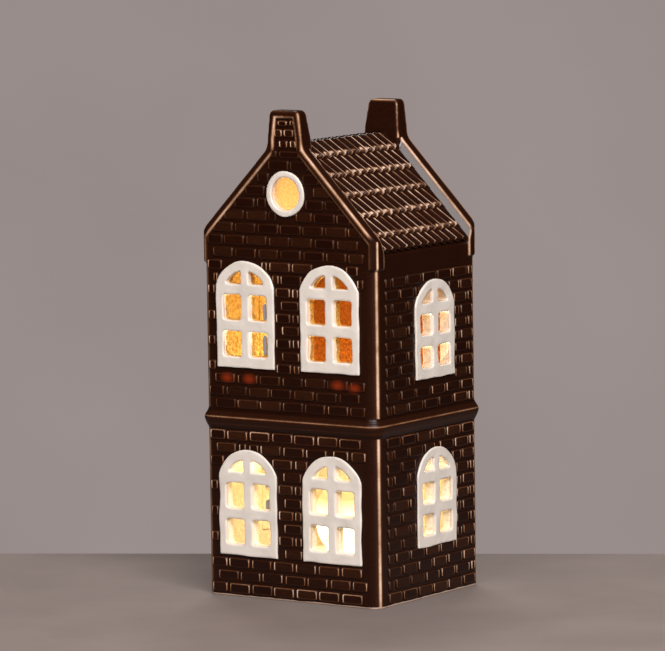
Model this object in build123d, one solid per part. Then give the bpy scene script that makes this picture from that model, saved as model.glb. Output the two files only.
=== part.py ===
from build123d import *
import math
import os

# Lit ceramic house: a hollow glazed brick house with two raised gables, and a light unit in its floor.
# Millimetres. The origin is the middle of the foot, +Z is up, and the front wall faces -Y.

# Walls
house_width = 80.0
house_depth = 72.0
wall = 4.2
corner_radius = 4.0
inner_corner_radius = 2.5
foot_height = 3.0
foot_width = 5.0
light_hole_radius = 20.0

# Roof, measured at the middle of the tile surface
eave_height = 137.3
ridge_height = 179.0
tile_bed = 1.6
tile_courses = 6
tiles_per_course = 12
tile_base = 0.7
course_step = 1.2
roll_width = 2.2
roll_top_width = 1.0
roll_height = 0.9
tile_overhang = 0.9
tile_side_gap = 0.1
ridge_gap = 0.1
ridge_flat = 3.6

# Gables, with a raised coping along their edge and a chimney on top
gable_thickness = 6.3
coping_rise = 4.7
coping_width = 2.8
coping_overhang = 0.9
coping_proud = 0.9
coping_drop = 10.9
coping_lean = 1.8
chimney_rise = 11.0
chimney_foot_width = 16.4
chimney_top_width = 13.2
chimney_top_depth = 5.6
knee_radius = 5.0
shoulder_radius = 6.0
chimney_corner_radius = 2.2

# String course round the walls
string_height = 70.8
string_bead_height = 4.4
string_bead_proud = 1.7
string_step_height = 2.8
string_step_proud = 0.9
string_flat = 0.1

# Arched windows: panes in two columns and three rows
window_width = 27.2
arch_rise = 10.0
frame_proud = 1.0
frame_lap = 1.1
frame_gap = 0.1
side_border = 3.3
middle_bar = 3.6
bottom_rail = 4.4
cross_bar = 4.2
top_pane_height = 5.3
top_border = 3.8
pane_corner_radius = 1.2
front_window_height = 41.7
front_window_spacing = 39.4
front_sills = {"lower": 16.3, "upper": 89.7}
side_window_height = 38.4
side_sill_height = 19.8
side_window_eave_gap = 13.8
left_window_setback = 8.8
right_window_setback = 5.0

# Round gable window
gable_window_drop = 21.1
gable_window_radius = 8.8
gable_pane_radius = 6.4

# Light unit: a plastic cup with a flange under the floor
flat_gap = 0.05
unit_radius = 18.6
unit_wall = 1.4
unit_height = 13.2
flange_radius = 22.4
flange_thickness = 1.4
ring_groove_depth = 0.4
ring_groove_height = 3.2
ring_gap = 0.05
ring_hole_gap = 0.2
ring_rib_height = 1.0
fit_gap = 0.05
board_ledge_width = 2.4
board_ledge_height = 1.5
led_hole_radius = 3.0

# Base cover with the cell bay
base_thickness = 2.4
bay_height = 5.8
bay_wall = 1.0
cell_radius = 10.0
cell_thickness = 3.2
cell_cap_radius = 8.8
cell_cap_height = 0.3
cell_side_gap = 0.4
cell_offset = -3.5

# Battery door
door_thickness = 1.4
door_lap = 0.8
door_gap = 0.2
door_pad_height = 1.2
door_pad_radius = 7.0
ear_distance = 12.8
ear_radius = 2.6
screw_radius = 0.95
screw_gap = 0.12
screw_length = 6.0
screw_head_radius = 1.9
screw_head_height = 0.8
screw_slot_width = 0.5
screw_slot_depth = 0.4
boss_radius = 2.3
boss_height = 5.0

# Circuit board and the parts on it
board_gap = 0.2
board_thickness = 1.2
led_radius = 2.5
led_flange_radius = 2.9
led_flange_height = 1.0
led_standoff = 3.3
led_body_height = 5.1
leg_width = 0.5
leg_spacing = 2.54
leg_tail = 0.7
lead_hole_gap = 0.1
resistor_radius = 1.1
resistor_length = 6.0
resistor_offset = -9.0
lead_span = 8.4

# Slide switch
switch_offset = 12.6
switch_width = 4.0
switch_length = 8.6
switch_height = 4.4
switch_wall = 0.4
switch_travel = 2.0
slider_height = 1.6
slider_gap = 0.1
knob_width = 2.0
knob_length = 2.4
knob_proud = 0.8
knob_slot_gap = 0.3

# Spring and clip that touch the cell
contact_thickness = 0.35
contact_width = 3.0
contact_gap = 0.02
spring_foot = 5.5
spring_reach = 4.0
spring_curl = 1.2
clip_width = 5.0
clip_slot_gap = 0.7
clip_end_gap = 0.4

# Pear-shaped diffuser over the lamp
diffuser_flange_radius = 7.0
diffuser_flange_height = 1.0
diffuser_foot_radius = 5.4
diffuser_belly_radius = 10.6
diffuser_belly_height = 9.0
diffuser_height = 29.0
diffuser_wall = 1.0
diffuser_foot_flare = 1.4
diffuser_tip_fall = 0.35

# Places that follow from the sizes above
half_width = house_width / 2
half_depth = house_depth / 2
roof_slope = (ridge_height - eave_height) / half_width
roof_angle = math.degrees(math.atan(roof_slope))
slope_cosine = math.cos(math.atan(roof_slope))
bed_ridge = ridge_height - tile_bed / slope_cosine
bed_eave = eave_height - tile_bed / slope_cosine
inner_ridge = bed_ridge - wall / slope_cosine
inner_eave = bed_eave + roof_slope * wall - wall / slope_cosine
floor_top = foot_height + wall
chimney_top = ridge_height + chimney_rise
gable_inside = half_depth - gable_thickness
gable_window_height = ridge_height - gable_window_drop
upper_side_sill = eave_height - side_window_eave_gap - side_window_height
side_sills = {"lower": side_sill_height, "upper": upper_side_sill}
flange_top = foot_height - flat_gap
unit_bottom = flange_top - flange_thickness
unit_top = unit_bottom + unit_height
unit_inner_radius = unit_radius - unit_wall
base_top = unit_bottom + base_thickness
board_bottom = base_top + bay_height
board_top = board_bottom + board_thickness
bay_radius = cell_radius + cell_side_gap
door_radius = bay_radius + door_lap
door_top = unit_bottom + door_thickness
cell_bottom = door_top + door_pad_height + flat_gap
cell_top = cell_bottom + cell_thickness
knob_slot_width = knob_width + 2 * knob_slot_gap
knob_slot_length = knob_length + switch_travel + 2 * knob_slot_gap
groove_bottom = (foot_height + floor_top - ring_groove_height) / 2
groove_top = groove_bottom + ring_groove_height


def roof_height(x):
    return ridge_height - roof_slope * abs(x)


def coping_height(x):
    return roof_height(x) + coping_rise


def plan_prism(width, depth, radius, bottom, top):
    plan = Pos(0, 0, bottom) * RectangleRounded(width, depth, radius)
    return extrude(plan, top - bottom)


def upright(radius, bottom, top, x=0.0, y=0.0):
    return extrude(Pos(x, y, bottom) * Circle(radius), top - bottom)


def block(width, length, bottom, top, x=0.0, y=0.0):
    return extrude(Pos(x, y, bottom) * Rectangle(width, length), top - bottom)


def gabled_prism(half, depth, bottom, eave, ridge):
    profile = Polyline((-half, bottom), (half, bottom), (half, eave), (0, ridge), (-half, eave), close=True)
    return extrude(Plane.XZ * make_face(profile), depth / 2, both=True)


def gable_outline(foot):
    side = half_width + coping_overhang
    shoulder = chimney_foot_width / 2
    top = chimney_top_width / 2
    knee = (side, coping_height(side))
    neck = (shoulder, coping_height(shoulder))
    crown = (top, chimney_top)
    right = [(side, foot), knee, neck, crown]
    left = [(-x, z) for x, z in reversed(right)]
    face = make_face(Polyline(*right, *left, close=True))
    radii = {knee: knee_radius, neck: shoulder_radius, crown: chimney_corner_radius}
    for (x, z), radius in radii.items():
        corners = [face.vertices().sort_by_distance((hand * x, z))[0] for hand in (-1, 1)]
        face = fillet(corners, radius)
    return face


def coping_lean_cuts():
    # Above the tiles the coping's inner face leans back, from the chimney to the eaves.
    start = chimney_foot_width / 2
    top = 2 * coping_rise
    back = -gable_inside - 2 * coping_lean
    profile = Polyline((-gable_inside, 0), (-gable_inside, top), (back, top), close=True)
    section = Pos(start, 0, roof_height(start)) * (Plane.YZ * make_face(profile))
    cut = extrude(section, half_width / slope_cosine, dir=(1, 0, -roof_slope))
    return [cut, mirror(cut, Plane.YZ)]


def gable():
    front = Plane((0, -half_depth - coping_proud, 0), x_dir=(1, 0, 0), z_dir=(0, -1, 0))
    coping_foot = coping_height(half_width + coping_overhang) - coping_drop
    plate = extrude(front * gable_outline(coping_foot), -(gable_thickness + coping_proud))
    brick_field = offset(gable_outline(0), -coping_width)
    rounded = plan_prism(
        house_width + 2 * coping_overhang,
        house_depth + 2 * coping_proud,
        corner_radius + coping_overhang,
        0,
        chimney_top,
    )
    lean = Polyline(
        (-gable_inside, ridge_height),
        (-half_depth - coping_proud + chimney_top_depth, chimney_top),
        (-gable_inside, chimney_top),
        close=True,
    )
    behind_chimney = extrude(Plane.YZ * make_face(lean), chimney_foot_width, both=True)
    recess = extrude(front * brick_field, -coping_proud)
    return (plate & rounded) - [recess, behind_chimney, *coping_lean_cuts()]


def string_course():
    def ring(proud, bottom, top):
        width = house_width + 2 * proud
        depth = house_depth + 2 * proud
        return plan_prism(width, depth, corner_radius + proud, bottom, top)

    bead_bottom = string_height - string_bead_height / 2
    bead = ring(string_bead_proud, bead_bottom, bead_bottom + string_bead_height)
    bead = fillet(bead.faces().filter_by(Axis.Z).edges(), string_bead_proud - string_flat)
    step = ring(string_step_proud, bead_bottom - string_step_height, string_height)
    step = chamfer(step.faces().sort_by(Axis.Z)[0].edges(), string_step_proud - string_flat)
    return bead + step


def arch_face(height, inset):
    # Arched outline standing on its own sill, drawn in by the inset on every side.
    half = window_width / 2
    radius = (half**2 + arch_rise**2) / (2 * arch_rise)
    side = half - inset
    spring = height - radius + math.sqrt((radius - inset) ** 2 - side**2)
    sides = Polyline((-side, spring), (-side, inset), (side, inset), (side, spring))
    top = ThreePointArc((side, spring), (0, height - inset), (-side, spring))
    return make_face([sides, top])


def window_panes(height):
    pane_width = (window_width - 2 * side_border - middle_bar) / 2
    pane_height = (height - bottom_rail - 2 * cross_bar - top_pane_height - top_border) / 2
    half = window_width / 2
    radius = (half**2 + arch_rise**2) / (2 * arch_rise)
    top_sill = height - top_border - top_pane_height
    head = Pos(0, height - radius) * Circle(radius - top_border)
    panes = []
    for side in (-1, 1):
        centre = side * (middle_bar + pane_width) / 2
        for row in (0, 1):
            level = bottom_rail + pane_height / 2 + row * (pane_height + cross_bar)
            panes.append(Pos(centre, level) * RectangleRounded(pane_width, pane_height, pane_corner_radius))
        above = Pos(centre, top_sill + height / 2) * Rectangle(pane_width, height)
        panes.append(head & above)
    return panes


def arched_frame(plane, height):
    flange = extrude(plane * arch_face(height, 0), frame_proud)
    plug = extrude(plane * arch_face(height, frame_lap), -wall)
    holes = [extrude(plane * pane, wall + frame_proud, both=True) for pane in window_panes(height)]
    return flange + plug - holes


def arched_opening(plane, height):
    return extrude(plane * arch_face(height, frame_lap - frame_gap), wall, both=True)


def front_plane(x, z):
    return Plane((x, -half_depth, z), x_dir=(1, 0, 0), z_dir=(0, -1, 0))


def side_plane(side, y, z):
    return Plane((side * half_width, y, z), x_dir=(0, side, 0), z_dir=(side, 0, 0))


def window_places():
    places = {}
    for level, sill in front_sills.items():
        for side, name in ((-1, "left"), (1, "right")):
            plane = front_plane(side * front_window_spacing / 2, sill)
            places[f"front_window_{level}_{name}"] = (plane, front_window_height)
    for level, sill in side_sills.items():
        for side, name, setback in ((-1, "left", left_window_setback), (1, "right", right_window_setback)):
            places[f"{name}_window_{level}"] = (side_plane(side, setback, sill), side_window_height)
    return places


def gable_window():
    plane = front_plane(0, gable_window_height)
    flange = extrude(plane * Circle(gable_window_radius), frame_proud)
    plug = extrude(plane * Circle(gable_window_radius - frame_lap), -wall)
    pane = extrude(plane * Circle(gable_pane_radius), wall + frame_proud, both=True)
    return flange + plug - pane


def house_shell():
    outside = gabled_prism(half_width, house_depth, 0, bed_eave, bed_ridge)
    outside &= plan_prism(house_width, house_depth, corner_radius, 0, chimney_top)
    front_gable = gable()
    outside += [front_gable, Rot(0, 0, 180) * front_gable, string_course()]
    inside = gabled_prism(half_width - wall, house_depth - 2 * wall, floor_top, inner_eave, inner_ridge)
    inside &= plan_prism(
        house_width - 2 * wall, house_depth - 2 * wall, inner_corner_radius, floor_top, chimney_top
    )
    under_floor = plan_prism(
        house_width - 2 * foot_width, house_depth - 2 * foot_width, inner_corner_radius, 0, foot_height
    )
    light_hole = extrude(Circle(light_hole_radius), floor_top)
    gable_circle = Circle(gable_window_radius - frame_lap + frame_gap)
    gable_hole = extrude(front_plane(0, gable_window_height) * gable_circle, wall, both=True)
    openings = [arched_opening(plane, height) for plane, height in window_places().values()]
    return outside - [inside, under_floor, light_hole, gable_hole, *openings]


def tile_course(length, field_width):
    # One course lies along +X with its rolls side by side along Y, and rises towards its lower end.
    pitch = field_width / tiles_per_course
    side = field_width / 2
    depth = tile_base + course_step
    outline = [(-side, -depth)]
    for tile in range(tiles_per_course):
        middle = -side + tile * pitch + roll_width / 2
        outline.append((middle - roll_width / 2, 0))
        outline.append((middle - roll_top_width / 2, roll_height))
        outline.append((middle + roll_top_width / 2, roll_height))
        outline.append((middle + roll_width / 2, 0))
    outline += [(side, 0), (side, -depth)]
    section = Plane.YZ * make_face(Polyline(*outline, close=True))
    lean = (length, 0, course_step)
    return extrude(Pos(0, 0, tile_base) * section, math.hypot(length, course_step), dir=lean)


def roof_envelope(half):
    # Flattens the ridge across the rolls, and ends the tiles in an upright plane at the eaves.
    crest = bed_ridge + (tile_base + course_step + roll_height) / slope_cosine
    ridge_side = ridge_flat / 2
    right = [(half, 0), (half, crest - roof_slope * half), (ridge_side, crest - roof_slope * ridge_side)]
    left = [(-x, z) for x, z in reversed(right)]
    return extrude(Plane.XZ * make_face(Polyline(*right, *left, close=True)), half_depth, both=True)


def roof_tiles(turn):
    # The tiled slope on the +X side, turned about the house's upright axis for the other side.
    field_width = 2 * (gable_inside - tile_side_gap)
    slope_length = (half_width + tile_overhang) / slope_cosine
    course_length = slope_length / tile_courses
    course = tile_course(course_length, field_width)
    field = course + [Pos(row * course_length, 0, 0) * course for row in range(-1, tile_courses) if row]
    above_bed = block(3 * slope_length, house_depth, 0, slope_length, slope_length / 2)
    slope = Plane((0, 0, bed_ridge), x_dir=(1, 0, -roof_slope), z_dir=(roof_slope, 0, 1))
    one_side = block(house_width, house_depth, 0, chimney_top, half_width + ridge_gap)
    tiles = (slope * (field & above_bed)) & one_side & roof_envelope(half_width + tile_overhang)
    return Rot(0, 0, turn) * tiles


def turned(points):
    # A closed radius-and-height profile turned about the upright axis.
    return revolve(Plane.XZ * make_face(Polyline(*points, close=True)), Axis.Z)


def light_housing():
    groove_radius = unit_radius - ring_groove_depth
    ledge_radius = unit_inner_radius - board_ledge_width
    ledge_top = board_top + board_ledge_height
    roof_inside = unit_top - unit_wall
    return turned([
        (unit_inner_radius, unit_bottom),
        (flange_radius, unit_bottom),
        (flange_radius, flange_top),
        (unit_radius, flange_top),
        (unit_radius, groove_bottom),
        (groove_radius, groove_bottom),
        (groove_radius, groove_top),
        (unit_radius, groove_top),
        (unit_radius, unit_top),
        (led_hole_radius, unit_top),
        (led_hole_radius, roof_inside),
        (unit_inner_radius, roof_inside),
        (unit_inner_radius, ledge_top),
        (ledge_radius, ledge_top),
        (ledge_radius, board_top),
        (unit_inner_radius, board_top),
    ])


def retaining_ring():
    inner = unit_radius - ring_groove_depth + ring_gap
    outer = light_hole_radius - ring_hole_gap
    waist = (unit_radius + outer) / 2
    bottom = groove_bottom + ring_gap
    top = groove_top - ring_gap
    return turned([
        (inner, bottom),
        (outer, bottom),
        (outer, bottom + ring_rib_height),
        (waist, bottom + ring_rib_height),
        (waist, top - ring_rib_height),
        (outer, top - ring_rib_height),
        (outer, top),
        (inner, top),
    ])


def door_plan(gap):
    ear = Pos(0, -ear_distance) * Circle(ear_radius + gap)
    neck = Pos(0, -ear_distance / 2) * Rectangle(2 * (ear_radius + gap), ear_distance)
    return Pos(cell_offset, 0) * (Circle(door_radius + gap) + neck + ear)


def light_base():
    recess_top = door_top + flat_gap
    disc = upright(unit_inner_radius - fit_gap, unit_bottom, base_top)
    bay = upright(bay_radius + bay_wall, base_top, board_bottom, cell_offset)
    boss = upright(boss_radius, recess_top, recess_top + boss_height, cell_offset, -ear_distance)
    door_recess = extrude(Pos(0, 0, unit_bottom) * door_plan(door_gap), recess_top - unit_bottom)
    cell_hole = upright(bay_radius, unit_bottom, board_bottom, cell_offset)
    bore_radius = screw_radius + screw_gap
    bore = upright(bore_radius, unit_bottom, recess_top + boss_height, cell_offset, -ear_distance)
    knob_slot = block(knob_slot_width, knob_slot_length, unit_bottom, base_top, switch_offset)
    clip_middle = cell_offset + bay_radius + bay_wall / 2
    clip_slot = block(2 * bay_wall, clip_width + 2 * clip_slot_gap, base_top, board_bottom, clip_middle)
    return disc + bay + boss - [door_recess, cell_hole, bore, knob_slot, clip_slot]


def battery_door():
    plate = extrude(Pos(0, 0, unit_bottom) * door_plan(0), door_thickness)
    pad = upright(door_pad_radius, door_top, door_top + door_pad_height, cell_offset)
    hole = upright(screw_radius + screw_gap, unit_bottom, door_top, cell_offset, -ear_distance)
    recess_top = unit_bottom + screw_head_height + flat_gap
    recess_radius = screw_head_radius + screw_gap
    head_recess = upright(recess_radius, unit_bottom, recess_top, cell_offset, -ear_distance)
    return plate + pad - [hole, head_recess]


def door_screw():
    head_top = unit_bottom + screw_head_height
    head = upright(screw_head_radius, unit_bottom, head_top, cell_offset, -ear_distance)
    shank = upright(screw_radius, head_top, head_top + screw_length, cell_offset, -ear_distance)
    slot = [
        block(length, width, unit_bottom, unit_bottom + screw_slot_depth, cell_offset, -ear_distance)
        for length, width in ((screw_head_radius, screw_slot_width), (screw_slot_width, screw_head_radius))
    ]
    return head + shank - slot


def coin_cell():
    can = upright(cell_radius, cell_bottom, cell_top - cell_cap_height, cell_offset)
    cap = upright(cell_cap_radius, cell_top - cell_cap_height, cell_top, cell_offset)
    return can + cap


def led_lamp():
    flange_bottom = board_top + led_standoff
    body_bottom = flange_bottom + led_flange_height
    dome_bottom = body_bottom + led_body_height
    tip = dome_bottom + led_radius
    shoulder = led_radius * math.sqrt(0.5)
    sides = Polyline(
        (0, tip),
        (0, flange_bottom),
        (led_flange_radius, flange_bottom),
        (led_flange_radius, body_bottom),
        (led_radius, body_bottom),
        (led_radius, dome_bottom),
    )
    dome = ThreePointArc((led_radius, dome_bottom), (shoulder, dome_bottom + shoulder), (0, tip))
    lens = revolve(Plane.XZ * make_face([sides, dome]), Axis.Z)
    legs = [block(leg_width, leg_width, board_bottom - leg_tail, flange_bottom, 0, side * leg_spacing / 2)
            for side in (-1, 1)]
    return lens + legs


def led_resistor():
    level = board_top + resistor_radius
    tail = board_bottom - leg_tail
    end = lead_span / 2
    path = Polyline((-end, tail), (-end, level), (end, level), (end, tail))
    lead = extrude(Plane.YZ * trace(path, leg_width), leg_width / 2, both=True)
    section = Plane((0, 0, level), z_dir=(0, 1, 0)) * Circle(resistor_radius)
    body = extrude(section, resistor_length / 2, both=True)
    return Pos(resistor_offset, 0, 0) * (lead + body)


def circuit_board():
    disc = upright(unit_inner_radius - board_gap, board_bottom, board_top)
    hole_radius = leg_width * math.sqrt(0.5) + lead_hole_gap
    holes = []
    for side in (-1, 1):
        holes.append(upright(hole_radius, board_bottom, board_top, 0, side * leg_spacing / 2))
        holes.append(upright(hole_radius, board_bottom, board_top, resistor_offset, side * lead_span / 2))
    return disc - holes


def switch_case():
    bottom = board_bottom - switch_height
    cavity_bottom = bottom + switch_wall
    case = block(switch_width, switch_length, bottom, board_bottom, switch_offset)
    cavity = block(
        switch_width - 2 * switch_wall,
        switch_length - 2 * switch_wall,
        cavity_bottom,
        cavity_bottom + slider_height + 2 * slider_gap,
        switch_offset,
    )
    slot = block(knob_slot_width, knob_slot_length, bottom, cavity_bottom, switch_offset)
    return case - cavity - slot


def switch_slider():
    # Stands at the front end of its travel, where the light is on.
    rest = -switch_travel / 2
    shoe_bottom = board_bottom - switch_height + switch_wall + slider_gap
    shoe = block(
        switch_width - 2 * switch_wall - 2 * slider_gap,
        switch_length - 2 * switch_wall - 2 * slider_gap - switch_travel,
        shoe_bottom,
        shoe_bottom + slider_height,
        switch_offset,
        rest,
    )
    knob = block(knob_width, knob_length, unit_bottom - knob_proud, shoe_bottom, switch_offset, rest)
    return shoe + knob


def contact_spring():
    half = contact_thickness / 2
    foot_level = board_bottom - half
    touch_level = cell_top + contact_gap + half
    touch = cell_offset + spring_reach
    leaf = Polyline(
        (cell_offset - spring_foot, foot_level),
        (cell_offset, foot_level),
        (touch, touch_level),
        (touch + spring_curl, touch_level + spring_curl / 2),
    )
    return extrude(Plane.XZ * trace(leaf, contact_thickness), contact_width / 2, both=True)


def contact_clip():
    inside = cell_offset + cell_radius + contact_gap
    return block(
        contact_thickness, clip_width, base_top + clip_end_gap, board_bottom, inside + contact_thickness / 2
    )


def lamp_diffuser():
    flange_level = unit_top + diffuser_flange_height
    belly_level = flange_level + diffuser_belly_height
    tip = unit_top + diffuser_height
    foot_inside = diffuser_foot_radius - diffuser_wall
    outside = Spline(
        (diffuser_foot_radius, flange_level),
        (diffuser_belly_radius, belly_level),
        (0, tip),
        tangents=[(diffuser_foot_flare, 1), (-1, diffuser_tip_fall)],
    )
    inside = Spline(
        (0, tip - diffuser_wall),
        (diffuser_belly_radius - diffuser_wall, belly_level),
        (foot_inside, flange_level),
        tangents=[(1, -diffuser_tip_fall), (-diffuser_foot_flare, -1)],
    )
    foot = Polyline(
        (foot_inside, flange_level),
        (foot_inside, unit_top),
        (diffuser_flange_radius, unit_top),
        (diffuser_flange_radius, flange_level),
        (diffuser_foot_radius, flange_level),
    )
    axis_edge = Line((0, tip), (0, tip - diffuser_wall))
    return revolve(Plane.XZ * make_face([foot, outside, axis_edge, inside]), Axis.Z)


nodes = {
    "house_shell": house_shell(),
    "roof_tiles_right": roof_tiles(0),
    "roof_tiles_left": roof_tiles(180),
    "gable_window": gable_window(),
    "light_housing": light_housing(),
    "light_base": light_base(),
    "retaining_ring": retaining_ring(),
    "lamp_diffuser": lamp_diffuser(),
    "led_lamp": led_lamp(),
    "led_resistor": led_resistor(),
    "circuit_board": circuit_board(),
    "switch_case": switch_case(),
    "switch_slider": switch_slider(),
    "coin_cell": coin_cell(),
    "contact_spring": contact_spring(),
    "contact_clip": contact_clip(),
    "battery_door": battery_door(),
    "door_screw": door_screw(),
}
for name, (plane, height) in window_places().items():
    nodes[name] = arched_frame(plane, height)

os.makedirs("parts", exist_ok=True)
for name, shape in nodes.items():
    export_step(shape, f"parts/{name}.step")
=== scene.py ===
import math
import random

import bpy
import numpy as np
from mathutils import Matrix, Vector, noise


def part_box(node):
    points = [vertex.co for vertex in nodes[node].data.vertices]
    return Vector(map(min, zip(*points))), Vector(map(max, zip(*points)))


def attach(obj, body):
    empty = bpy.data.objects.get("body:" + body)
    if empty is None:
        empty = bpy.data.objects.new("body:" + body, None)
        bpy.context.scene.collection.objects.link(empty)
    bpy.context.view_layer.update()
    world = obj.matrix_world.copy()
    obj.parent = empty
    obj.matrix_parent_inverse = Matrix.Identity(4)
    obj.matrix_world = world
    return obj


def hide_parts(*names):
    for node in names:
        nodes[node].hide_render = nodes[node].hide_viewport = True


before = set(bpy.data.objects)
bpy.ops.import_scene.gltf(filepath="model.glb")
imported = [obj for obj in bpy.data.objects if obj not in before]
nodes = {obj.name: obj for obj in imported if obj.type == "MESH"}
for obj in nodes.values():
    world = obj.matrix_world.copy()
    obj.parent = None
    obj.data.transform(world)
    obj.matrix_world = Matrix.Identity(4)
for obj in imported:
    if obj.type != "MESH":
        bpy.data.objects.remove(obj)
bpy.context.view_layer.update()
picks = random.Random(11)
MM = 0.001

# The house, in millimetres, as its solids have it
half_width = 40.0
half_depth = 36.0
corner_radius = 4.0
wall = 4.2
floor_top = 7.2
eave_height = 137.3
ridge_height = 179.0
tile_bed = 1.6
gable_inside = 29.7
coping_rise = 4.7
coping_width = 2.8
coping_proud = 0.9
coping_lean = 1.8
coping_foot = 130.2
kneeler_top = 141.0
chimney_top = 190.0
chimney_foot_width = 16.4
chimney_top_width = 13.2
chimney_lean = 1.6
string_low = 65.8
string_high = 73.0
window_width = 27.2
window_arch_rise = 10.0
front_window_height = 41.7
front_window_spacing = 39.4
side_window_height = 38.4
left_window_setback = 8.8
right_window_setback = 5.0
front_sills = (16.3, 89.7)
side_sills = (19.8, 85.1)
gable_window_height = 157.9
gable_window_radius = 8.8

# Softened edges
neighbour_pull = 0.5
skin_depth = 0.6

# Bricks
first_course = 0.9
lower_course = 4.99
upper_course = 4.9
chimney_course = 4.2
lowest_course = 2.4
brick_pitch = 10.55
chimney_pitch = 5.4
brick_phase = 1.9
head_joint = 0.8
bed_joint = 0.75
brick_sink = 0.3
brick_corner = 0.5
brick_rise = (0.34, 0.48)
# The left ends of the bricks are made brighter than the right ends as painted light, their side facing away
# from the key lamp.
left_end_thin_and_lit = (0.75, 1.40)
right_end_thin = (0.60, 1.10)
bed_thin = (0.10, 0.45)
face_shade = (-0.24, 0.10)
low_corner_share = 0.7
low_bed_share = 0.4
gable_strengths = (1.1, 0.65, 1.05, 0.55, 1.35)
side_strengths = (1.0, 0.85)
rearward_gain = 0.35
brick_wobble = 0.12
brick_wobble_rate = 0.4
ring_points = 8
head_jitter = 0.25
bed_jitter = 0.12
ledge_boost = 1.8
window_margin = 0.6
round_window_margin = 1.0
string_clearance = 0.2
gable_edge_inset = 1.9
gable_width_level = 0.36
gable_brick_drop = 4.0
chimney_brick_gap = 0.4
shortest_brick = 2.2
side_brick_top = 128.5
front_brick_reach = (-37.4, 35.6)
side_brick_reach = (-28.8, 32.0)
# Painted glow: red spots below the upper windows, where the lamp's light is painted shining through the wall.
red_spots = ((-28.8, 85.6), (-18.4, 85.6), (23.0, 85.4), (30.6, 84.8))
red_spot_reach = 3.2
red_spot_stretch = (0.72, 1.0, 1.15)

# Roof tiles
tile_courses = 6
top_course_share = 0.8
tiles_per_course = 12
tile_side_gap = 0.1
tile_base = 0.7
course_step = 1.8
roll_height = 0.68
roll_share = 0.62
roll_middle = 0.24
roll_slant = 0.46
trough_sag = 0.25
tile_overhang = 0.9
tile_lip = 0.45
tile_shift = 0.35
tile_brightness = (0.7, 1.2)
tile_sink = 0.3
thinnest_tile = 0.25
lip_drop = 0.35
notch_place = 0.80
notch_width = 0.14
shadow_start = 0.08
shadow_reach = 0.12
tile_line_gain = 1.2
tile_line_drop = 0.08
roll_line_power = 5
flattest_roll = 0.25
lip_flattening = 0.25
faintest_notch = 0.4
lip_band = 1.6
lip_scallop = 1.5
ridge_round = 1.2
ridge_shade = 1.5
ridge_gap = 0.05
tile_grid = 0.27

roof_slope = (ridge_height - eave_height) / half_width
roof_turn = math.atan(roof_slope)
bed_ridge = ridge_height - tile_bed / math.cos(roof_turn)


# Points, edges and how far a point stands out

def mesh_arrays(mesh):
    """Points in millimetres, point normals and edges of a mesh."""
    points = np.empty(len(mesh.vertices) * 3)
    mesh.vertices.foreach_get("co", points)
    normals = np.empty(len(mesh.vertices) * 3)
    mesh.vertex_normals.foreach_get("vector", normals)
    edges = np.empty(len(mesh.edges) * 2, dtype=np.int32)
    mesh.edges.foreach_get("vertices", edges)
    return points.reshape(-1, 3) / MM, normals.reshape(-1, 3), edges.reshape(-1, 2)


def spread(points, edges, rounds):
    """The points after so many rounds of being pulled towards their neighbours' mean."""
    points = points.copy()
    count = len(points)
    degree = np.bincount(edges.ravel(), minlength=count)
    for _ in range(rounds):
        for axis in range(3):
            values = points[:, axis]
            total = np.bincount(edges[:, 0], values[edges[:, 1]], count)
            total += np.bincount(edges[:, 1], values[edges[:, 0]], count)
            points[:, axis] += neighbour_pull * (total / degree - values)
    return points


def stand_out(mesh, rounds):
    """How far each point lies outside the spread surface, in millimetres."""
    points, normals, edges = mesh_arrays(mesh)
    return np.einsum("ij,ij->i", normals, points - spread(points, edges, rounds))


def face_centres(mesh):
    """The middles of a mesh's faces, in millimetres."""
    centres = np.empty(len(mesh.polygons) * 3)
    mesh.polygons.foreach_get("center", centres)
    return centres.reshape(-1, 3) / MM


def set_points(mesh, points):
    mesh.vertices.foreach_set("co", (points * MM).ravel())
    mesh.update()


def set_attribute(mesh, name, values):
    attribute = mesh.attributes.new(name, "FLOAT", "POINT")
    attribute.data.foreach_set("value", np.asarray(values, dtype=np.float32))


def shade_smooth(mesh):
    mesh.polygons.foreach_set("use_smooth", np.ones(len(mesh.polygons), dtype=bool))


def add_piece(name, mesh, body, slot, *materials):
    piece = bpy.data.objects.new(name, mesh)
    bpy.context.scene.collection.objects.link(piece)
    mesh.materials.clear()
    for material in materials:
        mesh.materials.append(material)
    shade_smooth(mesh)
    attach(piece, body)
    return piece


def soft_mesh(node, voxel, rounds):
    """The node's solid with every edge softened, as glaze and slip leave it."""
    helper = bpy.data.objects.new("helper", nodes[node].data.copy())
    bpy.context.scene.collection.objects.link(helper)
    remesh = helper.modifiers.new("remesh", "REMESH")
    remesh.mode = "VOXEL"
    remesh.voxel_size = voxel * MM
    depsgraph = bpy.context.evaluated_depsgraph_get()
    mesh = bpy.data.meshes.new_from_object(helper.evaluated_get(depsgraph))
    bpy.data.objects.remove(helper)
    points, _, edges = mesh_arrays(mesh)
    set_points(mesh, spread(points, edges, rounds))
    return mesh


# Materials

black = (0.0, 0.0, 0.0)
white = (1.0, 1.0, 1.0)
thin_brown = (0.021, 0.0058, 0.0020)
red_lamp_shine = (0.20, 0.022, 0.004)
bare_clay = (0.50, 0.36, 0.28)
# Painted shade for the rear wall upstairs.
rear_painted_shade = (0.25, 0.066, 0.003)
rim_brown = (0.36, 0.22, 0.13)
foot_bare_height = 0.7
foot_wander = 0.5
# Where the painted shade on the rear wall fades in, from front to back.
rear_shade_start = 22.0
rear_shade_end = 31.0
glow_band = (0.35, 0.75)


def new_material(name):
    material = bpy.data.materials.new(name)
    material.use_nodes = True
    return material, material.node_tree, material.node_tree.nodes["Principled BSDF"]


def add_node(tree, kind, **settings):
    made = tree.nodes.new(kind)
    for key, value in settings.items():
        setattr(made, key, value)
    return made


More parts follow.
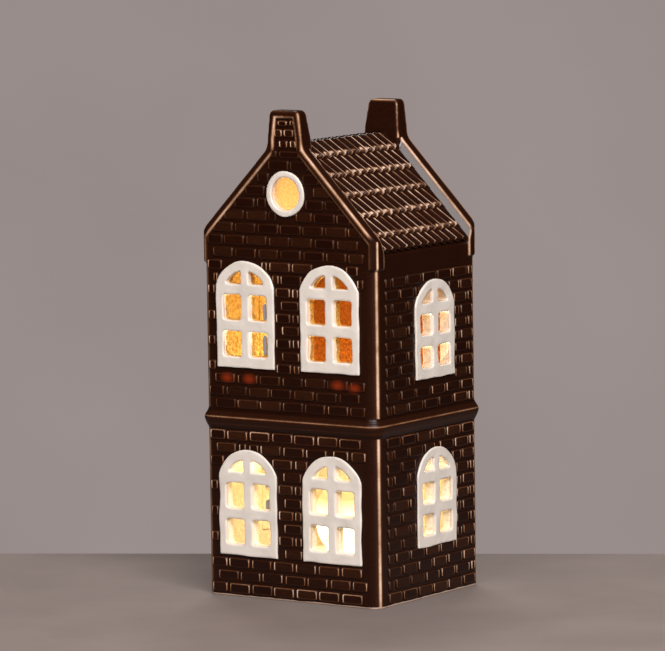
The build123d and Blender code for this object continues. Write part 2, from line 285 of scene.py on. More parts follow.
def math_node(tree, operation, first, second):
    made = add_node(tree, "ShaderNodeMath", operation=operation)
    for socket, value in zip(made.inputs, (first, second)):
        if isinstance(value, (int, float)):
            socket.default_value = value
        else:
            tree.links.new(value, socket)
    return made.outputs[0]


def noise_node(tree, scale_mm, detail=3.0, roughness=0.5):
    """Noise in the house's own coordinates, with features about so many millimetres wide."""
    place = add_node(tree, "ShaderNodeTexCoord")
    made = add_node(tree, "ShaderNodeTexNoise")
    made.inputs["Scale"].default_value = 1 / (scale_mm * MM)
    made.inputs["Detail"].default_value = detail
    made.inputs["Roughness"].default_value = roughness
    tree.links.new(place.outputs["Object"], made.inputs["Vector"])
    return made.outputs["Fac"]


def ramp_node(tree, value, stops):
    made = add_node(tree, "ShaderNodeValToRGB")
    ramp = made.color_ramp
    while len(ramp.elements) < len(stops):
        ramp.elements.new(0.5)
    for element, (position, colour) in zip(ramp.elements, stops):
        element.position = position
        element.color = (*colour, 1.0)
    tree.links.new(value, made.inputs["Fac"])
    return made.outputs["Color"]


def span_node(tree, value, low, high, start=0.0, end=1.0):
    """The value, with start to end stretched to low to high."""
    made = add_node(tree, "ShaderNodeMapRange")
    made.inputs["From Min"].default_value = start
    made.inputs["From Max"].default_value = end
    made.inputs["To Min"].default_value = low
    made.inputs["To Max"].default_value = high
    tree.links.new(value, made.inputs["Value"])
    return made.outputs["Result"]


def bump_node(tree, shader, height, distance_mm):
    made = add_node(tree, "ShaderNodeBump")
    made.inputs["Strength"].default_value = 1.0
    made.inputs["Distance"].default_value = distance_mm * MM
    tree.links.new(height, made.inputs["Height"])
    tree.links.new(made.outputs["Normal"], shader.inputs["Normal"])


def mix_colours(tree, factor, first, second):
    made = add_node(tree, "ShaderNodeMix", data_type="RGBA")
    for socket, value in ((made.inputs[0], factor), (made.inputs[6], first), (made.inputs[7], second)):
        if isinstance(value, tuple):
            socket.default_value = (*value, 1.0)
        elif isinstance(value, (int, float)):
            socket.default_value = value
        else:
            tree.links.new(value, socket)
    return made.outputs[2]


def attribute_node(tree, name):
    return add_node(tree, "ShaderNodeAttribute", attribute_name=name).outputs["Fac"]


def split_place(tree, kind="Object"):
    """X, Y and Z in the house's own coordinates, or as shares of the piece's own box."""
    made = add_node(tree, "ShaderNodeSeparateXYZ")
    tree.links.new(add_node(tree, "ShaderNodeTexCoord").outputs[kind], made.inputs[0])
    return made.outputs


def level_node(tree):
    """How high a point lies, from 0 at the foot to 1 at the ridge."""
    return math_node(tree, "MULTIPLY", split_place(tree)["Z"], 1 / (ridge_height * MM))


def red_spot(tree, place, x, z):
    """How near the place is to a spot on the front wall, from 1 in its middle to 0."""
    spot = Vector((x, -half_depth, z)) * MM
    gap = add_node(tree, "ShaderNodeVectorMath", operation="SUBTRACT")
    tree.links.new(place, gap.inputs[0])
    gap.inputs[1].default_value = spot
    stretched = add_node(tree, "ShaderNodeVectorMath", operation="MULTIPLY")
    tree.links.new(gap.outputs[0], stretched.inputs[0])
    stretched.inputs[1].default_value = red_spot_stretch
    length = add_node(tree, "ShaderNodeVectorMath", operation="LENGTH")
    tree.links.new(stretched.outputs[0], length.inputs[0])
    near = add_node(tree, "ShaderNodeMapRange", interpolation_type="SMOOTHSTEP")
    near.inputs["From Min"].default_value = red_spot_reach * MM
    near.inputs["From Max"].default_value = 0.0
    tree.links.new(length.outputs["Value"], near.inputs["Value"])
    return near.outputs["Result"]


def glaze_material():
    """Dark brown glaze that runs thin and tan on every raised edge, with painted highlights and painted shade
    worked into those edge lines, over a pale unglazed foot.
    """
    material, tree, shader = new_material("brown_glaze")
    place = add_node(tree, "ShaderNodeTexCoord").outputs["Object"]
    patches = noise_node(tree, 9.0, 4.0)
    grain = noise_node(tree, 0.8, 2.0)
    edge = attribute_node(tree, "edge")
    thin = math_node(tree, "MULTIPLY", edge, span_node(tree, patches, 0.55, 1.30))
    thin = math_node(tree, "ADD", thin, span_node(tree, grain, -0.10, 0.10))
    level = math_node(tree, "MULTIPLY_ADD", thin, 0.5)
    level.node.inputs[2].default_value = 0.5
    colour = ramp_node(tree, level, (
        (0.00, (0.004, 0.0013, 0.0007)),
        (0.48, (0.0125, 0.0024, 0.0007)),
        (0.60, (0.034, 0.0095, 0.0030)),
        (0.74, (0.125, 0.047, 0.018)),
        (0.88, (0.43, 0.245, 0.145)),
        (1.00, (0.78, 0.56, 0.43)),
    ))
    warm = math_node(tree, "MULTIPLY", span_node(tree, noise_node(tree, 14.0), -0.6, 1.0), 0.9)
    warm.node.use_clamp = True
    colour = mix_colours(tree, math_node(tree, "MULTIPLY", warm, 0.6), colour, thin_brown)
    # Painted glow of the lamp shining through the wall, in red spots below the upper windows.
    for x, z in red_spots:
        colour = mix_colours(tree, red_spot(tree, place, x, z), colour, red_lamp_shine)
    wander = span_node(tree, patches, -foot_wander * MM, foot_wander * MM)
    foot_line = math_node(tree, "ADD", split_place(tree)["Z"], wander)
    foot = math_node(tree, "LESS_THAN", foot_line, foot_bare_height * MM)
    colour = mix_colours(tree, foot, colour, bare_clay)
    tree.links.new(colour, shader.inputs["Base Color"])
    dull_edge = math_node(tree, "MULTIPLY", edge, 0.28)
    dull_foot = math_node(tree, "MULTIPLY", foot, 0.5)
    dull = math_node(tree, "MAXIMUM", dull_edge, dull_foot)
    rough = math_node(tree, "ADD", span_node(tree, patches, 0.24, 0.36), dull)
    pooled = attribute_node(tree, "pooled")
    rough = math_node(tree, "SUBTRACT", rough, math_node(tree, "MULTIPLY", pooled, 0.12))
    tree.links.new(rough, shader.inputs["Roughness"])
    tree.links.new(span_node(tree, pooled, 0.19, 0.48), shader.inputs["Specular IOR Level"])
    bump_node(tree, shader, noise_node(tree, 1.8, 2.0), 0.025)
    return material


def inside_material():
    """Thin glaze wash on the walls inside, speckled, with the lamp's light painted into its colour: pale near
    the floor by the lamp, darker above, paler again under the roof where the beam falls, and a painted shade
    on the rear wall upstairs.
    """
    material, tree, shader = new_material("inside_wash_and_lamplight")
    level = level_node(tree)
    colour = ramp_node(tree, level, (
        (0.00, (0.95, 0.89, 0.72)),
        (0.32, (0.94, 0.88, 0.70)),
        (0.45, (0.57, 0.37, 0.10)),
        (0.70, (0.55, 0.34, 0.08)),
        (0.80, (0.78, 0.55, 0.26)),
    ))
    upstairs = ramp_node(tree, level, ((0.36, black), (0.47, white), (0.74, white), (0.80, black)))
    # Painted shade on the rear wall upstairs.
    rear = span_node(tree, split_place(tree)["Y"], 0.0, 1.0, rear_shade_start * MM, rear_shade_end * MM)
    colour = mix_colours(tree, math_node(tree, "MULTIPLY", upstairs, rear), colour, rear_painted_shade)
    speckle = ramp_node(tree, noise_node(tree, 1.1, 4.0, 0.7), ((0.44, (0.36, 0.24, 0.14)), (0.56, white)))
    shares = ((0.28, 0.22), (0.46, 0.85), (0.80, 0.30))
    share = ramp_node(tree, level, [(stop, (grey, grey, grey)) for stop, grey in shares])
    tinted = add_node(tree, "ShaderNodeMix", data_type="RGBA", blend_type="MULTIPLY")
    tree.links.new(share, tinted.inputs[0])
    tree.links.new(colour, tinted.inputs[6])
    tree.links.new(speckle, tinted.inputs[7])
    tree.links.new(tinted.outputs[2], shader.inputs["Base Color"])
    shader.inputs["Specular IOR Level"].default_value = 0.15
    tree.links.new(span_node(tree, noise_node(tree, 3.0), 0.45, 0.75), shader.inputs["Roughness"])
    bump_node(tree, shader, noise_node(tree, 1.2, 4.0), 0.10)
    return material


def jamb_material():
    """Pale clay with a thin wash, on the cut faces of the side windows' openings; paler on the lower storey
    as painted light from the lamp, darker above.
    """
    material, tree, shader = new_material("jamb_wash_and_lamplight")
    level = level_node(tree)
    colour = ramp_node(tree, level, ((0.36, (0.87, 0.80, 0.68)), (0.46, (0.61, 0.51, 0.41))))
    speckle = noise_node(tree, 1.3, 4.0, 0.6)
    patchy = ramp_node(tree, speckle, ((0.36, white), (0.50, black)))
    colour = mix_colours(tree, math_node(tree, "MULTIPLY", patchy, 0.5), colour, (0.50, 0.33, 0.16))
    tree.links.new(colour, shader.inputs["Base Color"])
    shader.inputs["Specular IOR Level"].default_value = 0.2
    tree.links.new(span_node(tree, speckle, 0.4, 0.7), shader.inputs["Roughness"])
    bump_node(tree, shader, speckle, 0.08)
    return material


def white_glaze_material():
    """Thick white glaze, brownish where it thins out against the wall."""
    material, tree, shader = new_material("white_glaze")
    cloud = noise_node(tree, 7.0, 3.0)
    colour = ramp_node(tree, cloud, ((0.30, (0.69, 0.625, 0.565)), (0.70, (0.78, 0.71, 0.65))))
    colour = mix_colours(tree, attribute_node(tree, "rim"), colour, rim_brown)
    tree.links.new(colour, shader.inputs["Base Color"])
    tree.links.new(span_node(tree, cloud, 0.14, 0.30), shader.inputs["Roughness"])
    bump_node(tree, shader, noise_node(tree, 2.4, 2.0), 0.10)
    return material


def plain_material(name, dark, light, grain_mm, rough, metallic=0.0, bump_mm=0.02):
    """A material whose colour, gloss and surface vary a little with a grain of that size."""
    material, tree, shader = new_material(name)
    grain = noise_node(tree, grain_mm, 4.0)
    tree.links.new(ramp_node(tree, grain, ((0.30, dark), (0.70, light))), shader.inputs["Base Color"])
    tree.links.new(span_node(tree, grain, rough[0], rough[1]), shader.inputs["Roughness"])
    shader.inputs["Metallic"].default_value = metallic
    bump_node(tree, shader, grain, bump_mm)
    return material


def glowing_material(name, colour, glow, low_strength, high_strength):
    """Frosted plastic that the lamp inside it lights up, with the one strength below and the other on top."""
    material, tree, shader = new_material(name)
    frost = noise_node(tree, 1.4, 3.0)
    tree.links.new(ramp_node(tree, frost, ((0.3, tuple(0.9 * c for c in colour)), (0.7, colour))),
                   shader.inputs["Base Color"])
    tree.links.new(span_node(tree, frost, 0.35, 0.55), shader.inputs["Roughness"])
    shader.inputs["Emission Color"].default_value = (*glow, 1.0)
    rise = split_place(tree, "Generated")["Z"]
    glow_fall = span_node(tree, rise, low_strength, high_strength, *glow_band)
    tree.links.new(glow_fall, shader.inputs["Emission Strength"])
    bump_node(tree, shader, frost, 0.04)
    return material


brown_glaze = glaze_material()
inside_wash_and_lamplight = inside_material()
jamb_wash_and_lamplight = jamb_material()
white_glaze = white_glaze_material()


# House shell

shell_voxel = 0.42
shell_rounds = 2
corner_line_turn = 24.0
corner_line_spread = 17.0
corner_fringe_spread = 30.0
kneeler_line_spread = 10.0
corner_fringe_share = 0.3
# Painted shade: corner and coping lines on the left are dimmed, that side facing away from the key lamp.
left_corner_shade = 0.75
left_coping_shade = 0.25
front_line_width = 1.5
step_line_width = 1.1
back_line_width = 1.1
inside_slack = 0.5
line_gain = 1.3
off_string_gap = 0.3
back_line_share = 0.9
chimney_cap_share = 0.3
hollow_rounds = 3
hollow_start = 0.015
hollow_reach = 0.08
pooled_drop = 1.5
pooled_reach = 0.3
pooled_chimney_lap = 0.5
left_line_turn = 58.0
bead_line_height = 70.3
bead_line_width = 0.5
bead_line_share = 0.72
lower_line_height = 67.5
lower_line_width = 0.4
lower_line_share = 0.30
string_band_share = 0.05
string_line_proud = 0.4
string_middle = (-2.0, 69.4)
string_profile = (
    (0.0, 65.6), (0.35, 66.2), (0.9, 67.3), (1.35, 68.4), (1.66, 69.4),
    (1.68, 69.9), (1.45, 70.6), (0.8, 71.6), (0.2, 72.6), (0.0, 73.2),
)


def roof_inside(x):
    inner_ridge = bed_ridge - wall / math.cos(roof_turn)
    return inner_ridge - roof_slope * np.abs(x)


def fade(distance, reach):
    """One near a line, falling to nothing at the reach."""
    return np.clip(line_gain * (1 - np.abs(distance) / reach), 0, 1)


def chimney_half(level):
    taper = (chimney_foot_width - chimney_top_width) / 2 / (chimney_top - ridge_height)
    return chimney_foot_width / 2 - np.maximum(0.0, level - ridge_height) * taper


def out_of_wall(x, y):
    """How far a point lies outside the plan of the walls, corners and all."""
    beyond_x = x - (half_width - corner_radius)
    beyond_y = y - (half_depth - corner_radius)
    on_corner = (beyond_x > 0) & (beyond_y > 0)
    at_corner = np.hypot(beyond_x, beyond_y)
    return np.where(on_corner, at_corner, np.maximum(beyond_x, beyond_y)) - corner_radius


def round_string(points):
    """The points with bead and step run together into one soft ridge, as slip and glaze leave it."""
    beyond = np.maximum(np.abs(points[:, :2]) - (half_width - corner_radius, half_depth - corner_radius), 0)
    outward = np.sign(points[:, :2]) * beyond / np.maximum(np.hypot(*beyond.T), 1e-6)[:, None]
    out = out_of_wall(*np.abs(points[:, :2]).T)
    deep, middle = string_middle
    turn = np.arctan2(points[:, 2] - middle, out - deep)
    profile = np.array(string_profile) - string_middle
    turns = np.arctan2(profile[:, 1], profile[:, 0])
    reach = np.interp(turn, turns, np.hypot(*profile.T))
    moved = (out > -skin_depth) & (turn > turns[0]) & (turn < turns[-1])
    points = points.copy()
    points[moved, :2] += (outward * (deep + reach * np.cos(turn) - out)[:, None])[moved]
    points[moved, 2] = (middle + reach * np.sin(turn))[moved]
    return points


def corner_lines(x, y, z, middle):
    """Where the glaze runs thin along the upright corners of the walls, with a painted highlight laid into
    the same line.
    """
    beyond_x = x - (half_width - corner_radius)
    beyond_y = y - (half_depth - corner_radius)
    turn = np.degrees(np.arctan2(beyond_y, np.maximum(beyond_x, 1e-6))) - middle
    on_corner = (out_of_wall(x, y) > -skin_depth) & (beyond_x > 0) & (beyond_y > 0)
    spread_angle = np.where(z > coping_foot, kneeler_line_spread, corner_line_spread)
    fringe = corner_fringe_share * fade(turn, corner_fringe_spread) * (z < coping_foot)
    line = np.maximum(fade(turn, spread_angle), fringe)
    off_string = (z < string_low - off_string_gap) | (z > string_high + off_string_gap)
    return line * on_corner * off_string * (z < kneeler_top)


def coping_lines(x, y, z, light_share):
    """Where it runs thin along the edges of the copings and chimneys, with painted highlight; on the left the
    outer lines are dimmed and the inner step line brightened, as painted shade and light from the key lamp on
    the right.
    """
    over_roof = z - ridge_height + roof_slope * x
    on_slope = np.minimum((coping_rise - over_roof) * math.cos(roof_turn), half_width + coping_proud - x)
    on_chimney = np.minimum(chimney_half(z) - x, chimney_top - z)
    inset = np.maximum(on_slope, on_chimney)
    from_front = half_depth + coping_proud - y
    slope_face = np.clip(over_roof / coping_rise, 0, 1) * coping_lean
    chimney_face = np.clip((z - ridge_height) / (chimney_top - ridge_height), 0, 1) * chimney_lean
    from_back = y - gable_inside - np.where(on_chimney > on_slope, chimney_face, slope_face)
    front_edge = fade(np.hypot(inset, from_front), front_line_width)
    step_edge = fade(np.hypot(inset - coping_width, from_front), step_line_width)
    back_edge = fade(np.hypot(inset, from_back), back_line_width)
    step_share = 1.05 - 0.3 * light_share
    on_cap = chimney_top - z < chimney_half(z) - x
    front_share = np.where(on_cap, chimney_cap_share, light_share)
    lines = np.maximum.reduce([front_share * front_edge, step_share * step_edge, back_line_share * back_edge])
    return lines * (z > coping_foot)


def pooled_glaze(x, y, z):
    """Where the glaze pools thick and glossy: on the sloping inner faces of the copings."""
    over_roof = z - ridge_height + roof_slope * x
    off_chimney = x > chimney_half(z) - pooled_chimney_lap
    on_face = (y > gable_inside - skin_depth) & (y < gable_inside + coping_lean + pooled_reach)
    return on_face & (over_roof > -pooled_drop) & off_chimney


def string_lines(x, y, z):
    """Where it runs thin along the ridge of the string course and, less so, below it; the bead line is thin
    glaze and a painted highlight along its most outstanding part.
    """
    bead = bead_line_share * fade(z - bead_line_height, bead_line_width)
    lower = lower_line_share * fade(z - lower_line_height, lower_line_width)
    band = string_band_share * ((z > string_low) & (z < string_high))
    return np.maximum.reduce([bead, lower, band]) * (out_of_wall(x, y) > string_line_proud)


def house_shell():
    mesh = soft_mesh("house_shell", shell_voxel, shell_rounds)
    points, _, edges = mesh_arrays(mesh)
    points = spread(round_string(points), edges, shell_rounds)
    set_points(mesh, points)
    x, y, z = np.abs(points).T
    on_left = points[:, 0] < 0
    corners = corner_lines(x, y, z, np.where(on_left, left_line_turn, corner_line_turn))
    # Painted shade on the left-hand corner and coping lines.
    corners *= np.where(on_left, left_corner_shade, 1.0)
    copings = coping_lines(x, y, z, np.where(on_left, left_coping_shade, 1.0))
    fine = stand_out(mesh, hollow_rounds)
    edge = np.maximum.reduce([corners, copings, string_lines(x, y, z)])
    edge -= np.clip((-fine - hollow_start) / hollow_reach, 0, 1)
    set_attribute(mesh, "edge", edge)
    set_attribute(mesh, "pooled", pooled_glaze(x, y, z))
    x, y, z = np.abs(face_centres(mesh)).T
    inside = (out_of_wall(x, y) < -inside_slack) & (z > floor_top - inside_slack)
    inside &= z < roof_inside(x) + inside_slack
    piece = add_piece("house_body", mesh, "house", "brown_glaze", brown_glaze, inside_wash_and_lamplight)
    mesh.polygons.foreach_set("material_index", inside.astype(np.int32))
    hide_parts("house_shell")


# Bricks: each is a low pillow, set into the wall

class BrickField:
    """Gathers bricks on one wall, from its own plane of across and up."""

    def __init__(self, name, origin, across, out):
        self.name = name
        self.origin = Vector(origin)
        self.across = Vector(across)
        self.out = Vector(out)
        self.points = []
        self.faces = []
        self.edge = []

    def place(self, a, z, height, edge):
        rate = brick_wobble_rate
        wobble = brick_wobble * noise.noise(Vector((a * rate, z * rate, self.origin.x + self.origin.y)))
        spot = self.origin + self.across * (a + wobble) + self.out * height
        self.points.append((spot.x, spot.y, z + wobble))
        self.edge.append(edge)

    def add(self, left, right, low, high, strength, ledge):
        rise = picks.uniform(*brick_rise)
        # Painted light: the left end gets a brighter tan line than the right end.
        start = strength * picks.uniform(*left_end_thin_and_lit)
        end = strength * picks.uniform(*right_end_thin)
        level = ledge * strength * picks.uniform(*bed_thin)
        face = picks.uniform(*face_shade)
        rings = (
            (0.0, -brick_sink, -0.5, 0.0),
            (0.04, 0.05, -0.35, 0.0),
            (0.16, 0.75 * rise, -0.1, 0.15),
            (0.28, rise, 0.0, 0.60),
            (0.52, 1.02 * rise, 0.0, 1.05),
            (0.90, 1.04 * rise, face, 0.10),
        )
        first = len(self.points)
        for inset, height, base, share in rings:
            x0, x1, z0, z1 = left + inset, right - inset, low + inset, high - inset
            c = brick_corner
            loop = (
                (x0, z0 + c, low_corner_share * start), (x0 + c, z0, low_bed_share * level),
                (x1 - c, z0, low_bed_share * level), (x1, z0 + c, low_corner_share * end),
                (x1, z1 - c, end), (x1 - c, z1, level),
                (x0 + c, z1, level), (x0, z1 - c, start),
            )
            for a, z, thin in loop:
                self.place(a, z, height, base + share * thin)
        for ring in range(len(rings) - 1):
            low_ring = first + ring_points * ring
            high_ring = low_ring + ring_points
            for corner in range(ring_points):
                after = (corner + 1) % ring_points
                side = (low_ring + corner, low_ring + after, high_ring + after, high_ring + corner)
                self.faces.append(side)
        top = first + ring_points * (len(rings) - 1)
        self.faces.append(tuple(range(top, top + ring_points)))
        self.faces.append(tuple(reversed(range(first, first + ring_points))))

    def finish(self):
        mesh = bpy.data.meshes.new(self.name)
        mesh.from_pydata([Vector(p) * MM for p in self.points], [], self.faces)
        if self.across.cross(Vector((0, 0, 1))).dot(self.out) < 0:
            mesh.flip_normals()
        set_attribute(mesh, "edge", self.edge)
        add_piece(self.name, mesh, "house", "brown_glaze", brown_glaze)


def window_reach(level, sill, height):
    """Half the width that a window takes up at that level, or none."""
    above = level - sill
    if above < -window_margin or above > height + window_margin:
        return 0.0
    half = window_width / 2
    radius = (half**2 + window_arch_rise**2) / (2 * window_arch_rise)
    rise = above - (height - radius)
    if above < height - window_arch_rise:
        return half + window_margin
    return min(half, math.sqrt(max(0.0, radius**2 - rise**2))) + window_margin


def free_spans(left, right, blocks):
    """What is left of a span once the blocked spans are taken out."""
    spans = [(left, right)]
    for low, high in blocks:
        cut = []
        for start, end in spans:
            if high <= start or low >= end:
                cut.append((start, end))
                continue
            if low > start:
                cut.append((start, low))
            if high < end:
                cut.append((high, end))
        spans = cut
    return spans


def lay_course(field, low, high, left, right, blocks, phase, strength, pitch=brick_pitch, rearward=0.0):
    ledge = ledge_boost if low == first_course or high < string_low < high + lower_course else 1.0
    start = left - pitch + (phase - left) % pitch
    for index in range(int((right - left) / pitch) + 3):
        brick_left = start + index * pitch + head_joint / 2 + picks.uniform(-head_jitter, head_jitter)
        brick_right = start + (index + 1) * pitch - head_joint / 2 + picks.uniform(-head_jitter, head_jitter)
        for span in free_spans(max(brick_left, left), min(brick_right, right), blocks):
            if span[1] - span[0] < shortest_brick:
                continue
            lift = picks.uniform(-bed_jitter, bed_jitter)
            drift = rearward * (span[0] + span[1]) / (right - left)
            field.add(*span, low + lift + bed_joint / 2, high + lift - bed_joint / 2, strength + drift, ledge)


def courses(low, high, height):
    """The bottoms and tops of the courses from low to high; a last one that is too low is left out."""
    count = math.ceil((high - low - lowest_course) / height)
    return [(low + n * height, min(low + (n + 1) * height, high)) for n in range(count)]


def gable_half(level):
    """Half the width of the brick field between the copings."""
    slope_width = coping_width / math.cos(roof_turn)
    on_slope = (ridge_height + coping_rise - slope_width - level) / roof_slope
    return min(half_width - gable_edge_inset, max(on_slope, chimney_half(level) - coping_width))


def front_strength(level):
    """How strongly the joints show at that height of a gable wall."""
    tops = (string_low, front_sills[1], coping_foot, ridge_height - gable_brick_drop)
    return gable_strengths[sum(level > top for top in tops)]


def gable_wall(name, side, windows):
    """Bricks of the front or rear wall, up to the top of the gable's chimney."""
    field = BrickField(name, (0, side * half_depth, 0), (-side, 0, 0), (0, side, 0))
    left, right = front_brick_reach
    rows = courses(first_course, string_low, lower_course)
    rows += courses(string_high + string_clearance, ridge_height - gable_brick_drop, upper_course)
    chimney_rows = courses(rows[-1][1], chimney_top - coping_width - chimney_brick_gap, chimney_course)
    for number, (low, high) in enumerate(rows + chimney_rows):
        half = gable_half(low + gable_width_level * (high - low))
        blocks = []
        if windows:
            for sill in front_sills:
                reach = window_reach((low + high) / 2, sill, front_window_height)
                if reach:
                    blocks += [(spot - reach, spot + reach)
                               for spot in (-front_window_spacing / 2, front_window_spacing / 2)]
            rise = (low + high) / 2 - gable_window_height
            round_reach = gable_window_radius + round_window_margin
            if abs(rise) < round_reach:
                reach = math.sqrt(max(1.0, round_reach**2 - rise**2))
                blocks.append((-reach, reach))
        strength = front_strength((low + high) / 2)
        pitch = brick_pitch
        if number >= len(rows):
            pitch = chimney_pitch
        phase = brick_phase + (number % 2) * pitch / 2
        lay_course(field, low, high, max(left, -half), min(right, half), blocks, phase, strength, pitch)
    field.finish()


def side_wall(name, side):
    field = BrickField(name, (side * half_width, 0, 0), (0, side, 0), (side, 0, 0))
    left, right = side_brick_reach
    if side < 0:
        left, right = -right, -left
    rows = courses(first_course, string_low, lower_course)
    rows += courses(string_high + string_clearance, side_brick_top, upper_course)
    for number, (low, high) in enumerate(rows):
        blocks = []
        for sill in side_sills:
            reach = window_reach((low + high) / 2, sill, side_window_height)
            if reach:
                spot = right_window_setback if side > 0 else -left_window_setback
                blocks.append((spot - reach, spot + reach))
        phase = brick_phase + (number % 2) * brick_pitch / 2
        strength = side_strengths[high >= string_low]
        lay_course(field, low, high, left, right, blocks, phase, strength, rearward=side * rearward_gain)
    field.finish()


# Roof tiles: one wavy sheet a slope, with a lip at the lower end of each course

def roll_profile(share):
    """Height across one tile, a narrow roll beside a shallow trough, and how near the roll is."""
    from_roll = (share - roll_middle + 0.5) % 1.0 - 0.5
    roll = np.cos(np.clip(from_roll / roll_share, -0.5, 0.5) * math.pi)
    trough = np.sin(np.clip((np.abs(from_roll) - roll_share / 2) / (1 - roll_share) * 2, 0, 1) * math.pi / 2)
    return roll_height * roll - trough_sag * trough, roll, from_roll % 1.0


def tile_picks(low, high):
    """One random value for each tile, course by course."""
    values = [picks.uniform(low, high) for _ in range(tile_courses * tiles_per_course)]
    return np.array(values).reshape(tile_courses, tiles_per_course)


def roof_tiles(node, side):
    width = 2 * (gable_inside - tile_side_gap)
    length = (half_width + tile_overhang) / math.cos(roof_turn)
    course = length / (tile_courses - 1 + top_course_share)
    pitch = width / tiles_per_course
    columns = int(width / tile_grid) + 1
    rows = int(length / tile_grid) + 1
    v = np.linspace(-width / 2, width / 2, columns)
    tile = np.minimum(((v + width / 2) / pitch).astype(int), tiles_per_course - 1)
    profile, _, _ = roll_profile((v + width / 2) / pitch)
    start = -(tile_base + profile) * math.tan(roof_turn)
    crest = tile_base + course_step + profile
    end = (half_width + tile_overhang - crest * math.sin(roof_turn)) / math.cos(roof_turn)
    share = np.linspace(0, 1, rows)[:, None]
    u = start + share * (end - start)
    shifts = tile_picks(-tile_shift, tile_shift)
    bright = tile_picks(*tile_brightness)
    _, lip_roll, _ = roll_profile((v + width / 2) / pitch - roll_slant / 2)
    lip = lip_scallop * lip_roll
    laid = u - lip + (1 - top_course_share) * course
    number = np.clip(np.floor(laid / course).astype(int), 0, tile_courses - 1)
    laid = laid - shifts[number, tile]
    number = np.clip(np.floor(laid / course).astype(int), 0, tile_courses - 1)
    along = np.clip(laid / course - number, 0, 1)
    profile, roll, past_roll = roll_profile((v + width / 2) / pitch - roll_slant * (along - 0.5))
    to_lip = (1 - along) * course
    rounding = np.clip(1 - to_lip / tile_lip, 0, 1) ** 2
    flat_ridge = np.clip(u / ridge_round, flattest_roll, 1)
    height = tile_base + course_step * along - lip_drop * rounding
    height = height + profile * flat_ridge * (1 - lip_flattening * rounding)
    height = np.maximum(height, thinnest_tile)
    # Crest and lip lines are thin glaze with painted highlight; just below each lip they go dark as painted
    # shadow, and they fade out towards the ridge.
    notch = np.clip(np.abs(past_roll - notch_place) / notch_width, faintest_notch, 1)
    thin = np.maximum(roll**roll_line_power, fade(to_lip, lip_band) * notch) * bright[number, tile]
    below_lip = np.clip((along - shadow_start) / shadow_reach, 0, 1)
    lit = np.where(number > 0, below_lip, np.clip(u / ridge_shade, 0, 1))
    edge = tile_line_gain * thin * lit - tile_line_drop
    x = u * math.cos(roof_turn) + height * math.sin(roof_turn)
    z = bed_ridge - u * math.sin(roof_turn) + height * math.cos(roof_turn)
    x = np.clip(x, ridge_gap, half_width + tile_overhang)
    near = np.clip(x, 0, ridge_round)
    z -= roof_slope * ((near**2 + ridge_round**2) / (2 * ridge_round) - near)
    y = np.broadcast_to(v, x.shape)
    top = np.stack([x, y, z], axis=-1)
    floor_x = np.clip(u * math.cos(roof_turn), ridge_gap, half_width + tile_overhang)
    under = np.stack([floor_x, y, bed_ridge - tile_sink - roof_slope * floor_x], axis=-1)
    points = np.concatenate([top.reshape(-1, 3), under.reshape(-1, 3)])
    if side < 0:
        points[:, :2] *= -1
    index = np.arange(rows * columns).reshape(rows, columns)
    quads = np.stack([index[:-1, :-1], index[1:, :-1], index[1:, 1:], index[:-1, 1:]], axis=-1).reshape(-1, 4)
    below = quads[:, ::-1] + rows * columns
    rim = np.concatenate([index[0, :-1], index[:-1, -1], index[-1, :0:-1], index[:0:-1, 0]])
    after = np.roll(rim, -1)
    skirt = np.stack([rim, after, after + rows * columns, rim + rows * columns], axis=-1)
    faces = np.concatenate([quads, below, skirt])
    mesh = bpy.data.meshes.new(node)
    mesh.from_pydata((points * MM).tolist(), [], faces.tolist())
    mesh.update()
    set_attribute(mesh, "edge", np.concatenate([edge.ravel(), np.zeros(rows * columns)]))
    piece = add_piece(node + "_glazed", mesh, "house", "brown_glaze", brown_glaze)
    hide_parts(node)


# Window frames

frame_voxel = 0.34
frame_wobble = 0.34
frame_wobble_rate = 0.14
frame_wobble_seeds = (3.0, 17.0, 41.0)
frame_rounds = 3
rim_width = 0.35
rim_share = 0.8
outer_reach = 4.0
ragged_rate = 0.5
ragged_depth = 0.5
front_white_depth = 1.3
side_white_depth = 0.4


def window_frame(node):
    mesh = soft_mesh(node, frame_voxel, frame_rounds)
    points, normals, _ = mesh_arrays(mesh)
    for axis, seed in enumerate(frame_wobble_seeds):
        rate = frame_wobble_rate
        shake = [noise.noise(Vector((x * rate + seed, y * rate, z * rate))) for x, y, z in points]
        points[:, axis] += frame_wobble * np.array(shake)
    low, high = (np.array(corner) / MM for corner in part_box(node))
    points = np.clip(points, low, high)
    set_points(mesh, points)
    in_front = "front" in node or "gable" in node
    axis, face = (1, half_depth) if in_front else (0, half_width)
    depth = face - np.abs(points[:, axis])
    outer = np.abs(np.einsum("ij,ij->i", normals, points - points.mean(axis=0))) > outer_reach
    set_attribute(mesh, "rim", np.clip(1 - np.abs(depth) / rim_width, 0, 1) * outer * rim_share)
    centres = face_centres(mesh)
    ragged = np.array([noise.noise(Vector(centre) * ragged_rate) for centre in centres])
    white_depth = front_white_depth if in_front else side_white_depth
    bare = face - np.abs(centres[:, axis]) > white_depth + ragged_depth * ragged
    jamb = jamb_wash_and_lamplight if "right_window" in node else inside_wash_and_lamplight
    piece = add_piece(node + "_glazed", mesh, "house", "white_glaze", white_glaze, jamb)
    mesh.polygons.foreach_set("material_index", bare.astype(np.int32))
    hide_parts(node)


house_shell()
gable_wall("bricks_front", -1, True)
gable_wall("bricks_rear", 1, False)
side_wall("bricks_right", 1)
side_wall("bricks_left", -1)
roof_tiles("roof_tiles_right", 1)
roof_tiles("roof_tiles_left", -1)
for node in nodes:
    if "window" in node:
        window_frame(node)


# Light unit

